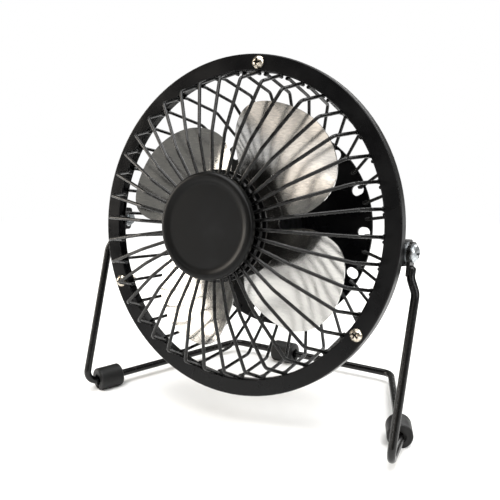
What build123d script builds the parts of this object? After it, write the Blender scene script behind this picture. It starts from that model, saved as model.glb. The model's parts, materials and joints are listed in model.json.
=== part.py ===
from build123d import *
import os
from math import atan2, cos, degrees, radians, sin, tan

# A small desk fan: a wire cage between two rolled rims, hung by two pivots in a stand
# bent from one rod. Millimetres, +Z up, the fan blows towards -Y. The origin is on the
# ground under the middle of the fan's box.
os.makedirs("parts", exist_ok=True)

# ---- driving dimensions ---------------------------------------------------------------
TILT = 10.0                 # the head leans back from upright
PIVOT_HEIGHT = 79.5         # the tilt axis above the ground
PIVOT_Y = -13.03            # centres the fan's box over the origin
PIVOT_DROP = 3.1            # the tilt axis lies this far below the rims' middle
PIVOT_SETBACK = 7.6         # and this far behind it

RIM_R = 70.0                # outside radius of both rims
RIM_FACE = 7.0              # width of the rim's flat face
RIM_DEPTH = 2.4             # depth of one rim
RIM_SHEET = 0.7
RIM_EDGE_R = 0.6
RIM_SCREWS = 3
RIM_SCREW_ANGLE = 87.5      # the first rim screw, from the head's right side

SPOKES = 38                 # wires in each half of the cage
WIRE_R = 0.7
FRONT_PHASE = 2.0
REAR_PHASE = 0.2
WELD_GAP = 0.02             # daylight left between pieces that are spot welded

FRONT_FLAT = 21.0           # how far the front wires stand before the rim's middle
FRONT_KNEE_R = 36.0         # radius where they start to slope back
FRONT_CORNER = (58.3, 14.6)  # radius and depth of their outer corner
REAR_CORNER = (58.2, -23.2)
HUB_RING_R = 20.2
HUB_RING_WIRE_R = 1.0

CAP_R = 21.0
CAP_FRONT = 26.6
CAP_WALL = 1.4

BLADE_R = 53.5              # tip radius of the impeller
BLADES = 4
BLADE_SHEET = 0.8
BLADE_PITCH = 14.0          # angle of each blade to the plane of the hub
BLADE_MIDDLE = 58.0         # direction of the first blade's middle line
BLADE_SLOT = 8.0            # direction of the first slot between blades
HUB_DISC_R = 21.0
HUB_DEPTH = 2.5             # the hub sheet's middle, before the rim's middle

MOTOR_R = 13.0
MOTOR_FRONT = -9.5
MOTOR_BACK = -30.0
MOTOR_SHEET = 0.8
SHAFT_R = 1.0

DISC_R = 44.5               # vented disc that closes the back of the cage
DISC_FRONT = -33.0
DISC_SHEET = 1.0
DISC_SLOTS = 14
HOUSING_R = 32.0
HOUSING_DEPTH = 13.0
HOUSING_WALL = 1.6

ROD_R = 1.65                # the stand's rod
AXIS_ABOVE_GROUND = 4.7     # the rod's middle line along the ground
LEG_LEAN = 18.4             # the legs slope forward from the pivots
LEG_X = 74.8                # the legs' distance from the middle
FRONT_CORNER_Y = -24.9      # from the pivots
REAR_BAR_Y = 58.0
REAR_CORNER_X = 43.7
KNEE = (70.9, -3.0)         # slight bend in the right rail, from the pivots

FOOT_R = 5.3
FOOT_LENGTH = 11.6
EYE_R = 4.4                 # flattened end of the rod
EYE_SHEET = 1.4
EYE_X = 70.3                # inner face of the eye, clear of the rims

PIVOT_SCREW_R = 2.0
PIVOT_HEAD_R = 3.5
BRACKET_X = 67.6            # inner face of the bracket's ear
BRACKET_SHEET = 2.0

# ---- the head's own frame -------------------------------------------------------------
# Local x is right, y is up along the leaning head and z is forward along the fan's axis.
LEAN = radians(TILT)
PIVOT = Vector(0, PIVOT_Y, PIVOT_HEIGHT)
FORWARD = Vector(0, -cos(LEAN), sin(LEAN))
UPWARD = Vector(0, sin(LEAN), cos(LEAN))
HEAD = Plane(
    origin=PIVOT + UPWARD * PIVOT_DROP + FORWARD * PIVOT_SETBACK,
    x_dir=(1, 0, 0),
    z_dir=FORWARD,
)
FAN_AXIS = Axis(HEAD.origin, HEAD.z_dir)
# Radius to the right, depth upwards: the plane in which the round pieces are drawn.
SECTION = Plane(origin=HEAD.origin, x_dir=HEAD.x_dir, z_dir=-HEAD.y_dir)
# Two upright planes down the fan's middle: local x is up the head, local y is forward.
SIDE = Plane(origin=PIVOT, x_dir=UPWARD, z_dir=(1, 0, 0))
RIM_SIDE = Plane(origin=HEAD.origin, x_dir=UPWARD, z_dir=(1, 0, 0))


def pan_screw(head_r, head_h, shank_r, length, recess):
    """Pan-head screw with a cross recess: the head stands on z = 0, the shank hangs below."""
    with BuildPart() as screw:
        with BuildSketch(Plane.XZ):
            with BuildLine():
                Polyline((0, head_h), (0, -length), (shank_r, -length), (shank_r, 0), (head_r, 0))
                Line((head_r, 0), (head_r, head_h * 0.3))
                ThreePointArc((head_r, head_h * 0.3), (head_r * 0.72, head_h * 0.82), (0, head_h))
            make_face()
        revolve(axis=Axis.Z)
        with BuildSketch(Plane.XY.offset(head_h - recess)):
            Rectangle(head_r * 1.15, head_r * 0.26)
            Rectangle(head_r * 0.26, head_r * 1.15)
        extrude(amount=head_h, mode=Mode.SUBTRACT)
    return screw.part


def tube(outer_r, inner_r, low, high):
    """A tube about the fan's axis, from depth low to depth high."""
    with BuildPart() as piece:
        with BuildSketch(HEAD.offset(low)):
            Circle(outer_r)
            Circle(inner_r, mode=Mode.SUBTRACT)
        extrude(amount=high - low)
    return piece.part


def bent_wire(points, radii):
    """One cage wire in the x-z plane, as a plain part to be repeated round the head."""
    with BuildPart() as wire:
        with BuildLine(Plane.XZ) as path:
            FilletPolyline(*points, radius=radii)
        with BuildSketch(Plane(origin=path.line @ 0, z_dir=path.line % 0)):
            Circle(WIRE_R)
        sweep(path=path.line)
    return wire.part


# ---- rims -----------------------------------------------------------------------------
RIM_INNER_R = RIM_R - RIM_FACE
RIM_MIDDLE_R = RIM_R - RIM_FACE / 2
RIM_HOLE_R = 1.45


def rim_hoop(side):
    """A hoop folded to a channel, open towards the other hoop. side is 1 front, -1 rear."""
    with BuildPart() as hoop:
        with BuildSketch(SECTION):
            with Locations((RIM_MIDDLE_R, side * RIM_DEPTH / 2)):
                Rectangle(RIM_FACE, RIM_DEPTH)
            outside = 0 if side < 0 else -1
            corners = vertices().group_by(Axis.Y)[outside]
            fillet(corners, radius=RIM_EDGE_R)
            with Locations((RIM_MIDDLE_R, side * (RIM_DEPTH - RIM_SHEET) / 2)):
                Rectangle(RIM_FACE - 2 * RIM_SHEET, RIM_DEPTH - RIM_SHEET, mode=Mode.SUBTRACT)
        revolve(axis=FAN_AXIS)
        with BuildSketch(HEAD.offset(-RIM_DEPTH)):
            with PolarLocations(RIM_MIDDLE_R, RIM_SCREWS, start_angle=RIM_SCREW_ANGLE):
                Circle(RIM_HOLE_R)
        extrude(amount=2 * RIM_DEPTH, mode=Mode.SUBTRACT)
    return hoop.part


with BuildPart() as front_rim:
    add(rim_hoop(1))
front_rim.part.label = "front_rim"
export_step(front_rim.part, "parts/front_rim.step")

# The rear hoop's inner wall is cut away at the brackets, so that a welding tip gets in.
NOTCH_WIDTH = 10.0
with BuildPart() as rear_rim:
    add(rim_hoop(-1))
    with BuildSketch(RIM_SIDE):
        with Locations((0, (RIM_SHEET - RIM_DEPTH) / 2)):
            Rectangle(NOTCH_WIDTH, RIM_DEPTH - RIM_SHEET)
    extrude(amount=RIM_INNER_R + RIM_SHEET, both=True, mode=Mode.SUBTRACT)
rear_rim.part.label = "rear_rim"
export_step(rear_rim.part, "parts/rear_rim.step")

RIM_SCREW_SHANK_R = 1.25
with BuildPart(HEAD.offset(RIM_DEPTH)) as rim_screws:
    with PolarLocations(RIM_MIDDLE_R, RIM_SCREWS, start_angle=RIM_SCREW_ANGLE):
        add(pan_screw(2.6, 1.6, RIM_SCREW_SHANK_R, 2 * RIM_DEPTH + 2.2, 0.9))
rim_screws.part.label = "rim_screws"
export_step(rim_screws.part, "parts/rim_screws.step")

NUT_HIGH = 1.8
with BuildPart() as rim_nuts:
    with BuildSketch(HEAD.offset(-RIM_DEPTH)):
        with PolarLocations(RIM_MIDDLE_R, RIM_SCREWS, start_angle=RIM_SCREW_ANGLE):
            RegularPolygon(radius=2.9, side_count=6)
            Circle(RIM_SCREW_SHANK_R + 0.02, mode=Mode.SUBTRACT)
    extrude(amount=-NUT_HIGH)
rim_nuts.part.label = "rim_nuts"
export_step(rim_nuts.part, "parts/rim_nuts.step")

# ---- cage -----------------------------------------------------------------------------
WIRE_END_R = RIM_INNER_R - WIRE_R - WELD_GAP
WIRE_END_DEPTH = 0.3
WIRE_FOOT_DEPTH = 3.0       # where a wire meets the rim's inner wall
WIRE_INNER_R = HUB_RING_R - 0.9

front_wire = bent_wire(
    [
        (WIRE_INNER_R, FRONT_FLAT),
        (FRONT_KNEE_R, FRONT_FLAT),
        FRONT_CORNER,
        (WIRE_END_R, WIRE_FOOT_DEPTH),
        (WIRE_END_R, WIRE_END_DEPTH),
    ],
    [8.0, 2.4, 3.0],
)
with BuildPart(HEAD) as front_spokes:
    with PolarLocations(0, SPOKES, start_angle=FRONT_PHASE):
        add(front_wire)
front_spokes.part.label = "front_spokes"
export_step(front_spokes.part, "parts/front_spokes.step")

HUB_RING_DEPTH = FRONT_FLAT - WIRE_R - HUB_RING_WIRE_R - WELD_GAP
with BuildPart() as front_weld_ring:
    with BuildSketch(SECTION):
        with Locations((HUB_RING_R, HUB_RING_DEPTH)):
            Circle(HUB_RING_WIRE_R)
    revolve(axis=FAN_AXIS)
front_weld_ring.part.label = "front_weld_ring"
export_step(front_weld_ring.part, "parts/front_weld_ring.step")

REAR_FLAT = DISC_FRONT + WIRE_R + WELD_GAP
REAR_WIRE_INNER_R = DISC_R - 2.7
rear_wire = bent_wire(
    [
        (REAR_WIRE_INNER_R, REAR_FLAT),
        (DISC_R + 0.6, REAR_FLAT),
        REAR_CORNER,
        (WIRE_END_R, -WIRE_FOOT_DEPTH),
        (WIRE_END_R, -WIRE_END_DEPTH),
    ],
    [3.0, 3.0, 3.0],
)
with BuildPart(HEAD) as rear_spokes:
    with PolarLocations(0, SPOKES, start_angle=REAR_PHASE):
        add(rear_wire)
rear_spokes.part.label = "rear_spokes"
export_step(rear_spokes.part, "parts/rear_spokes.step")

# ---- front cap ------------------------------------------------------------------------
# A pressed cap with a rolled edge. Its neck reaches back between the wires' ends to the
# plate behind the weld ring, and one screw pulls the two together.
CAP_NECK_R = WIRE_INNER_R - 0.8
PLATE_SHEET = 1.0
PLATE_FRONT = HUB_RING_DEPTH - HUB_RING_WIRE_R - WELD_GAP
CAP_LIP_R = 18.6
CAP_LIP = 0.7
CAP_UNDER = CAP_FRONT - 2.6
CAP_POST_R = 3.4
CAP_SCREW_R = 1.2
with BuildPart() as front_cap:
    with BuildSketch(SECTION):
        with BuildLine():
            Line((0, CAP_FRONT), (CAP_LIP_R - 2.6, CAP_FRONT))
            Spline(
                (CAP_LIP_R - 2.6, CAP_FRONT),
                (CAP_LIP_R, CAP_FRONT + CAP_LIP),
                (CAP_R, CAP_FRONT - 1.2),
                tangents=[(1, 0), (0, -1)],
            )
            Line((CAP_R, CAP_FRONT - 1.2), (CAP_R, CAP_FRONT - 2.0))
            Line((CAP_R, CAP_FRONT - 2.0), (CAP_R - 0.6, CAP_UNDER))
            Polyline(
                (CAP_R - 0.6, CAP_UNDER),
                (CAP_NECK_R, CAP_UNDER),
                (CAP_NECK_R, PLATE_FRONT),
                (CAP_NECK_R - CAP_WALL, PLATE_FRONT),
                (CAP_NECK_R - CAP_WALL, CAP_FRONT - CAP_WALL),
                (CAP_POST_R, CAP_FRONT - CAP_WALL),
                (CAP_POST_R, PLATE_FRONT),
                (0, PLATE_FRONT),
                (0, CAP_FRONT),
            )
        make_face()
    revolve(axis=FAN_AXIS)
    with BuildSketch(HEAD.offset(PLATE_FRONT)):
        Circle(CAP_SCREW_R + 0.02)
    extrude(amount=5.5, mode=Mode.SUBTRACT)
front_cap.part.label = "front_cap"
export_step(front_cap.part, "parts/front_cap.step")

with BuildPart() as cap_plate:
    with BuildSketch(HEAD.offset(PLATE_FRONT)):
        Circle(HUB_RING_R + 2.0)
        Circle(CAP_SCREW_R + 0.3, mode=Mode.SUBTRACT)
        with PolarLocations(11.0, 6):
            Circle(2.6, mode=Mode.SUBTRACT)
    extrude(amount=-PLATE_SHEET)
cap_plate.part.label = "cap_plate"
export_step(cap_plate.part, "parts/cap_plate.step")

BACKWARDS = Plane(
    origin=HEAD.offset(PLATE_FRONT - PLATE_SHEET).origin,
    x_dir=HEAD.x_dir,
    z_dir=-HEAD.z_dir,
)
with BuildPart(BACKWARDS) as cap_screw:
    add(pan_screw(2.4, 1.5, CAP_SCREW_R, 6.0, 0.8))
cap_screw.part.label = "cap_screw"
export_step(cap_screw.part, "parts/cap_screw.step")

# ---- impeller -------------------------------------------------------------------------
# One aluminium blank: a flat hub whose four broad blades are twisted out of its plane.
# Each blade is a thin strip lofted outwards along its middle line, trimmed to a rounded
# outline that is drawn in the blade's own directions.
BLADE_STATIONS = [(15.0, 0.0), (22.0, 0.35), (30.0, 0.85), (42.0, 1.0), (56.0, 1.05)]
BLADE_HALF_WIDTH = 34.0


def polar(radius, angle):
    return (radius * cos(radians(angle)), radius * sin(radians(angle)))


def blade_strip():
    """Twisted sheet along +x: flat at the hub, at the full pitch from the middle outwards."""
    with BuildPart() as strip:
        for reach, share in BLADE_STATIONS:
            station = Plane(origin=(reach, 0, 0), x_dir=(0, 1, 0), z_dir=(1, 0, 0))
            with BuildSketch(station):
                Rectangle(2 * BLADE_HALF_WIDTH, BLADE_SHEET, rotation=BLADE_PITCH * share)
        loft()
    return strip.part


def blade_outline(first, last):
    """Rounded plan of one blade between its two edges, given as directions at the hub."""
    with BuildSketch() as outline:
        with BuildLine():
            root_low = polar(15.0, first + 4)
            root_high = polar(15.0, last - 4)
            low = polar(24.0, first)
            high = polar(30.0, last)
            Line(root_high, root_low)
            Line(root_low, low)
            Spline(
                low,
                polar(38.0, first + 8),
                polar(48.0, first + 21),
                polar(BLADE_R, first + 40),
                polar(BLADE_R - 0.6, first + 58),
                polar(48.5, first + 73),
                polar(40.0, last - 2),
                high,
            )
            Line(high, root_high)
        make_face()
    return outline.sketch


EDGE_LOW = BLADE_SLOT + 5 - BLADE_MIDDLE
EDGE_HIGH = BLADE_SLOT + 90 - 4 - BLADE_MIDDLE
with BuildPart() as blade:
    add(blade_strip())
    with BuildSketch(Plane.XY.offset(-BLADE_R / 2)):
        add(blade_outline(EDGE_LOW, EDGE_HIGH))
    extrude(amount=BLADE_R, mode=Mode.INTERSECT)

RIVET_PITCH_R = 12.3
RIVET_ANGLE = -8.0
RIVET_R = 1.3
with BuildPart(HEAD.offset(HUB_DEPTH)) as impeller:
    with PolarLocations(0, BLADES, start_angle=BLADE_MIDDLE):
        add(blade.part)
    with BuildSketch(HEAD.offset(HUB_DEPTH - BLADE_SHEET / 2)):
        Circle(HUB_DISC_R)
    extrude(amount=BLADE_SHEET)
    with BuildSketch(HEAD.offset(HUB_DEPTH - 3)):
        Circle(SHAFT_R + 0.02)
        with PolarLocations(HUB_DISC_R, BLADES, start_angle=BLADE_SLOT):
            Circle(2.1)
        with PolarLocations(RIVET_PITCH_R, BLADES, start_angle=RIVET_ANGLE):
            Circle(RIVET_R + 0.02)
    extrude(amount=6, mode=Mode.SUBTRACT)
impeller.part.label = "impeller"
export_step(impeller.part, "parts/impeller.step")

HUB_BACK = HUB_DEPTH - BLADE_SHEET / 2
HUB_FRONT = HUB_DEPTH + BLADE_SHEET / 2
FLANGE_R = 15.5
FLANGE = 1.2
BOSS_R = 6.0
BOSS_BACK = -4.5
with BuildPart() as hub_boss:
    add(tube(FLANGE_R, SHAFT_R + 0.01, HUB_BACK - FLANGE, HUB_BACK))
    add(tube(BOSS_R, SHAFT_R + 0.01, BOSS_BACK, HUB_BACK - FLANGE))
    with BuildSketch(HEAD.offset(HUB_BACK - FLANGE)):
        with PolarLocations(RIVET_PITCH_R, BLADES, start_angle=RIVET_ANGLE):
            Circle(RIVET_R + 0.02)
    extrude(amount=FLANGE, mode=Mode.SUBTRACT)
hub_boss.part.label = "hub_boss"
export_step(hub_boss.part, "parts/hub_boss.step")

# Tubular rivets, turned over at both ends.
RIVET_HEAD = 0.4
with BuildPart() as rivet:
    with BuildSketch(Plane.XZ):
        with BuildLine():
            Polyline(
                (0.7, HUB_BACK - FLANGE - RIVET_HEAD),
                (2.0, HUB_BACK - FLANGE - RIVET_HEAD),
                (2.0, HUB_BACK - FLANGE),
                (RIVET_R, HUB_BACK - FLANGE),
                (RIVET_R, HUB_FRONT),
                (2.0, HUB_FRONT),
                (1.7, HUB_FRONT + RIVET_HEAD),
                (0.9, HUB_FRONT + RIVET_HEAD),
                (0.7, HUB_FRONT),
                close=True,
            )
        make_face()
    revolve(axis=Axis.Z)
with BuildPart(HEAD) as hub_rivets:
    with PolarLocations(RIVET_PITCH_R, BLADES, start_angle=RIVET_ANGLE):
        add(rivet.part)
hub_rivets.part.label = "hub_rivets"
export_step(hub_rivets.part, "parts/hub_rivets.step")

NUT_FRONT = HUB_FRONT + 2.4
with BuildPart() as blade_nut:
    with BuildSketch(HEAD.offset(HUB_FRONT)):
        RegularPolygon(radius=3.2, side_count=6)
        Circle(SHAFT_R + 0.02, mode=Mode.SUBTRACT)
    extrude(amount=NUT_FRONT - HUB_FRONT)
    chamfer(faces().sort_by(FAN_AXIS)[-1].outer_wire().edges(), length=0.3)
blade_nut.part.label = "blade_nut"
export_step(blade_nut.part, "parts/blade_nut.step")

# ---- motor ----------------------------------------------------------------------------
BUSH_R = 3.0
BUSH_LENGTH = 3.5
NOSE_R = 4.6
NOSE = 1.6
CAP_BODY = 5.0              # depth of the plastic end cap inside the can
RUNNING_FIT = 0.03
with BuildPart() as motor_can:
    add(tube(MOTOR_R, MOTOR_R - MOTOR_SHEET, MOTOR_BACK, MOTOR_FRONT))
    add(tube(MOTOR_R, BUSH_R, MOTOR_FRONT - MOTOR_SHEET, MOTOR_FRONT))
    add(tube(NOSE_R, BUSH_R, MOTOR_FRONT, MOTOR_FRONT + NOSE))
    with BuildSketch(HEAD.offset(MOTOR_FRONT - MOTOR_SHEET)):
        with PolarLocations(8.5, 4, start_angle=45):
            Circle(1.4)
    extrude(amount=MOTOR_SHEET, mode=Mode.SUBTRACT)
motor_can.part.label = "motor_can"
export_step(motor_can.part, "parts/motor_can.step")

with BuildPart() as motor_front_bush:
    bush_front = MOTOR_FRONT + NOSE
    add(tube(BUSH_R, SHAFT_R + RUNNING_FIT, bush_front - BUSH_LENGTH, bush_front))
motor_front_bush.part.label = "motor_front_bush"
export_step(motor_front_bush.part, "parts/motor_front_bush.step")

REAR_BUSH_FRONT = MOTOR_BACK + 4.0
SCREW_HOLE_X = 8.0          # the motor screws sit left and right of the shaft
MOTOR_SCREW_R = 1.0
with BuildPart() as motor_end_cap:
    add(tube(MOTOR_R - MOTOR_SHEET, BUSH_R, MOTOR_BACK, MOTOR_BACK + 2.2))
    add(tube(BUSH_R + 1.4, BUSH_R, MOTOR_BACK + 2.2, REAR_BUSH_FRONT))
    add(tube(MOTOR_R - MOTOR_SHEET, MOTOR_R - MOTOR_SHEET - 1.0, MOTOR_BACK + 2.2, MOTOR_BACK + CAP_BODY))
    add(tube(NOSE_R, BUSH_R, MOTOR_BACK - 2.0, MOTOR_BACK))
    with BuildSketch(HEAD.offset(MOTOR_BACK + 2.2)):
        with Locations((-SCREW_HOLE_X, 0), (SCREW_HOLE_X, 0)):
            Circle(2.0)
    extrude(amount=2.4)
    with BuildSketch(HEAD.offset(MOTOR_BACK)):
        with Locations((-SCREW_HOLE_X, 0), (SCREW_HOLE_X, 0)):
            Circle(MOTOR_SCREW_R + 0.02)
    extrude(amount=4.0, mode=Mode.SUBTRACT)
motor_end_cap.part.label = "motor_end_cap"
export_step(motor_end_cap.part, "parts/motor_end_cap.step")

with BuildPart() as motor_rear_bush:
    add(tube(BUSH_R, SHAFT_R + RUNNING_FIT, MOTOR_BACK + 0.2, REAR_BUSH_FRONT))
motor_rear_bush.part.label = "motor_rear_bush"
export_step(motor_rear_bush.part, "parts/motor_rear_bush.step")

# Two curved magnets line the can. The armature turns between them on the shaft.
MAGNET_OUTER_R = MOTOR_R - MOTOR_SHEET
MAGNET_INNER_R = 10.0
MAGNET_BACK = MOTOR_BACK + CAP_BODY + 0.5
MAGNET_FRONT = MOTOR_FRONT - MOTOR_SHEET - 0.6
MAGNET_GAP = 6.0
with BuildPart() as motor_magnets:
    with BuildSketch(HEAD.offset(MAGNET_BACK)):
        Circle(MAGNET_OUTER_R)
        Circle(MAGNET_INNER_R, mode=Mode.SUBTRACT)
        Rectangle(3 * MOTOR_R, MAGNET_GAP, mode=Mode.SUBTRACT)
    extrude(amount=MAGNET_FRONT - MAGNET_BACK)
motor_magnets.part.label = "motor_magnets"
export_step(motor_magnets.part, "parts/motor_magnets.step")

CORE_R = MAGNET_INNER_R - 0.5
CORE_FRONT = MAGNET_FRONT - 0.8
CORE_LENGTH = 9.0
POLES = 3
with BuildPart() as motor_armature:
    with BuildSketch(HEAD.offset(CORE_FRONT - CORE_LENGTH)):
        Circle(CORE_R)
        with PolarLocations(CORE_R - 1.4, POLES):
            SlotOverall(6.0, 3.6, mode=Mode.SUBTRACT)
        with PolarLocations(CORE_R, POLES):
            Rectangle(3.0, 1.4, mode=Mode.SUBTRACT)
        Circle(SHAFT_R + 0.01, mode=Mode.SUBTRACT)
    extrude(amount=CORE_LENGTH)
    add(tube(2.4, SHAFT_R + 0.01, REAR_BUSH_FRONT + 0.3, CORE_FRONT - CORE_LENGTH))
motor_armature.part.label = "motor_armature"
export_step(motor_armature.part, "parts/motor_armature.step")

SHAFT_BACK = MOTOR_BACK + 0.4
SHAFT_FRONT = NUT_FRONT + 0.8
with BuildPart() as motor_shaft:
    with BuildSketch(HEAD.offset(SHAFT_BACK)):
        Circle(SHAFT_R)
    extrude(amount=SHAFT_FRONT - SHAFT_BACK)
    chamfer(faces().sort_by(FAN_AXIS)[-1].edges(), length=0.25)
motor_shaft.part.label = "motor_shaft"
export_step(motor_shaft.part, "parts/motor_shaft.step")

# ---- rear disc and housing ------------------------------------------------------------
DISC_BACK = DISC_FRONT - DISC_SHEET
SLOT_MIDDLE_R = 40.8
SLOT_LENGTH = 5.6
SLOT_WIDTH = 4.4
HOUSING_SCREW_R = 1.2
HOUSING_SCREW_PCR = HOUSING_R - 5.0
HOUSING_SCREWS = 3
HOUSING_SCREW_ANGLE = 90.0
LEAD_HOLE_R = 2.2
LEAD_HOLE_Y = -9.0
with BuildPart() as rear_disc:
    with BuildSketch(HEAD.offset(DISC_BACK)):
        Circle(DISC_R)
        with PolarLocations(SLOT_MIDDLE_R, DISC_SLOTS, start_angle=2.0):
            SlotOverall(SLOT_LENGTH, SLOT_WIDTH, mode=Mode.SUBTRACT)
        Circle(NOSE_R + 0.3, mode=Mode.SUBTRACT)
        with Locations((-SCREW_HOLE_X, 0), (SCREW_HOLE_X, 0)):
            Circle(MOTOR_SCREW_R + 0.1, mode=Mode.SUBTRACT)
        with Locations((0, LEAD_HOLE_Y)):
            Circle(LEAD_HOLE_R, mode=Mode.SUBTRACT)
        with PolarLocations(HOUSING_SCREW_PCR, HOUSING_SCREWS, start_angle=HOUSING_SCREW_ANGLE):
            Circle(HOUSING_SCREW_R + 0.02, mode=Mode.SUBTRACT)
    extrude(amount=DISC_SHEET)
rear_disc.part.label = "rear_disc"
export_step(rear_disc.part, "parts/rear_disc.step")

# Spacer tubes hold the motor off the disc: the motor screws run through them.
with BuildPart() as motor_spacers:
    with BuildSketch(HEAD.offset(DISC_FRONT)):
        with Locations((-SCREW_HOLE_X, 0), (SCREW_HOLE_X, 0)):
            Circle(2.2)
            Circle(MOTOR_SCREW_R + 0.1, mode=Mode.SUBTRACT)
    extrude(amount=MOTOR_BACK - DISC_FRONT)
motor_spacers.part.label = "motor_spacers"
export_step(motor_spacers.part, "parts/motor_spacers.step")

DISC_REAR_FACE = Plane(
    origin=HEAD.offset(DISC_BACK).origin,
    x_dir=HEAD.x_dir,
    z_dir=-HEAD.z_dir,
)
with BuildPart(DISC_REAR_FACE) as motor_screws:
    with Locations((-SCREW_HOLE_X, 0), (SCREW_HOLE_X, 0)):
        add(pan_screw(2.0, 1.3, MOTOR_SCREW_R, DISC_SHEET + MOTOR_BACK - DISC_FRONT + 3.4, 0.7))
motor_screws.part.label = "motor_screws"
export_step(motor_screws.part, "parts/motor_screws.step")

HOUSING_BACK = DISC_BACK - HOUSING_DEPTH
HOUSING_EDGE_R = 4.0
HOUSING_INNER_BACK = HOUSING_BACK + HOUSING_WALL
POST_R = 3.2
COUNTERBORE_R = 2.6
COUNTERBORE = 1.6
SWITCH_Y = 11.0             # the switch sits above the middle of the housing's back
SWITCH_BODY = (13.0, 8.4)   # width and height
SWITCH_BEZEL = (15.0, 10.4)
SOCKET_Y = -14.0            # the power socket sits below it
SOCKET_SHELL = (7.6, 3.4)
CUT_GAP = 0.2               # room round the switch and the socket in their cut-outs
with BuildPart() as rear_housing:
    with BuildSketch(SECTION):
        with Locations((HOUSING_R / 2, (DISC_BACK + HOUSING_BACK) / 2)):
            Rectangle(HOUSING_R, HOUSING_DEPTH)
        fillet(vertices().sort_by_distance((HOUSING_R, HOUSING_BACK))[0], radius=HOUSING_EDGE_R)
        inner_r = HOUSING_R - HOUSING_WALL
        with Locations((inner_r / 2, (DISC_BACK + HOUSING_INNER_BACK) / 2)):
            Rectangle(inner_r, HOUSING_DEPTH - HOUSING_WALL, mode=Mode.SUBTRACT)
        inside = vertices().sort_by_distance((inner_r, HOUSING_INNER_BACK))[0]
        fillet(inside, radius=HOUSING_EDGE_R - HOUSING_WALL)
    revolve(axis=FAN_AXIS)
    with BuildSketch(HEAD.offset(HOUSING_INNER_BACK)):
        with PolarLocations(HOUSING_SCREW_PCR, HOUSING_SCREWS, start_angle=HOUSING_SCREW_ANGLE):
            Circle(POST_R)
    extrude(amount=HOUSING_DEPTH - HOUSING_WALL)
    with BuildSketch(HEAD.offset(HOUSING_BACK)):
        with PolarLocations(HOUSING_SCREW_PCR, HOUSING_SCREWS, start_angle=HOUSING_SCREW_ANGLE):
            Circle(HOUSING_SCREW_R + 0.2)
        with Locations((0, SWITCH_Y)):
            Rectangle(SWITCH_BODY[0] + CUT_GAP, SWITCH_BODY[1] + CUT_GAP)
        with Locations((0, SOCKET_Y)):
            RectangleRounded(SOCKET_SHELL[0] + CUT_GAP, SOCKET_SHELL[1] + CUT_GAP, 1.0)
    extrude(amount=HOUSING_DEPTH, mode=Mode.SUBTRACT)
    with BuildSketch(HEAD.offset(HOUSING_BACK)):
        with PolarLocations(HOUSING_SCREW_PCR, HOUSING_SCREWS, start_angle=HOUSING_SCREW_ANGLE):
            Circle(COUNTERBORE_R)
    extrude(amount=COUNTERBORE, mode=Mode.SUBTRACT)
rear_housing.part.label = "rear_housing"
export_step(rear_housing.part, "parts/rear_housing.step")

HOUSING_SCREW_SEAT = HOUSING_BACK + COUNTERBORE
SCREW_SEAT = Plane(
    origin=HEAD.offset(HOUSING_SCREW_SEAT).origin,
    x_dir=HEAD.x_dir,
    z_dir=-HEAD.z_dir,
)
with BuildPart(SCREW_SEAT) as housing_screws:
    # Seen from behind, up is the plane's -y, so the first screw is at -90 degrees.
    with PolarLocations(HOUSING_SCREW_PCR, HOUSING_SCREWS, start_angle=-HOUSING_SCREW_ANGLE):
        add(pan_screw(2.3, 1.4, HOUSING_SCREW_R, DISC_FRONT - HOUSING_SCREW_SEAT + 0.6, 0.8))
housing_screws.part.label = "housing_screws"
export_step(housing_screws.part, "parts/housing_screws.step")

# ---- switch and power socket ----------------------------------------------------------
BEZEL = 1.2
BEZEL_BACK = HOUSING_BACK - BEZEL
SWITCH_DEPTH = 9.5
CAVITY = (11.6, 6.6)
CAVITY_DEPTH = 5.6
TRUNNION_R = 0.8
TRUNNION_BITE = 0.5         # each end of the hinge pin in the body's wall
TRUNNION_DEPTH = 1.5        # the rocker's hinge line, in from the bezel's face
ROCKER_TIP = 8.0            # how far the rocker is tipped at each end of its travel
ROCKER_LENGTH = 10.6
ROCKER_WIDTH = 6.2
ROCKER_EAR = 1.6            # the rocker's ends stand this far out of the bezel
ROCKER_DIP = 0.7
ROCKER_KEEL = 2.6
ROCKER = Plane(
    origin=HEAD.offset(BEZEL_BACK + TRUNNION_DEPTH).origin + HEAD.y_dir * SWITCH_Y,
    x_dir=HEAD.x_dir,
    z_dir=HEAD.y_dir,
)
with BuildPart() as switch_body:
    with BuildSketch(HEAD.offset(HOUSING_BACK)):
        with Locations((0, SWITCH_Y)):
            Rectangle(*SWITCH_BODY)
    extrude(amount=SWITCH_DEPTH)
    with BuildSketch(HEAD.offset(BEZEL_BACK)):
        with Locations((0, SWITCH_Y)):
            RectangleRounded(*SWITCH_BEZEL, 1.0)
    extrude(amount=BEZEL)
    with BuildSketch(HEAD.offset(BEZEL_BACK)):
        with Locations((0, SWITCH_Y)):
            Rectangle(*CAVITY)
    extrude(amount=BEZEL + CAVITY_DEPTH, mode=Mode.SUBTRACT)
    with BuildSketch(ROCKER):
        Circle(TRUNNION_R + 0.04)
    extrude(amount=CAVITY[1] / 2 + TRUNNION_BITE + 0.05, both=True, mode=Mode.SUBTRACT)
switch_body.part.label = "switch_body"
export_step(switch_body.part, "parts/switch_body.step")

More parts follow.
